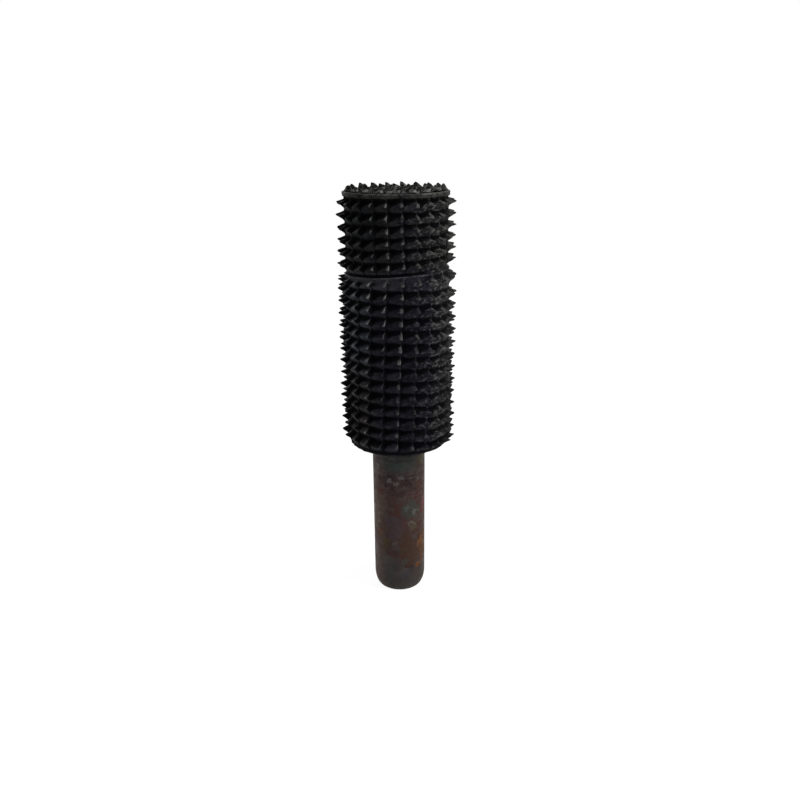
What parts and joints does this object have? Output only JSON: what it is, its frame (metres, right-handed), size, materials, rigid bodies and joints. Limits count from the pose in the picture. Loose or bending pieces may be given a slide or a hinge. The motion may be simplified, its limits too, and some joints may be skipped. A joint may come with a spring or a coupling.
{
  "type": "rotary rasp",
  "caption": "Cylindrical rasp bit: a steel head covered in raised hand-cut teeth round its side and on its flat end, on a plain round shank that a drill chuck grips.",
  "frame": {"origin": "centre of the flat end of the shank", "axes": "+Z along the axis of the bit, from the shank towards the toothed end; the side seen in the picture faces -Y"},
  "size_m": [0.0128, 0.0128, 0.0464],
  "materials": {
    "hardened_steel": "dark scale on the toothed head, bare steel with rust stains on the shank"
  },
  "bodies": {
    "root": {"rasp_bit": "hardened_steel"}
  },
  "joints": []
}
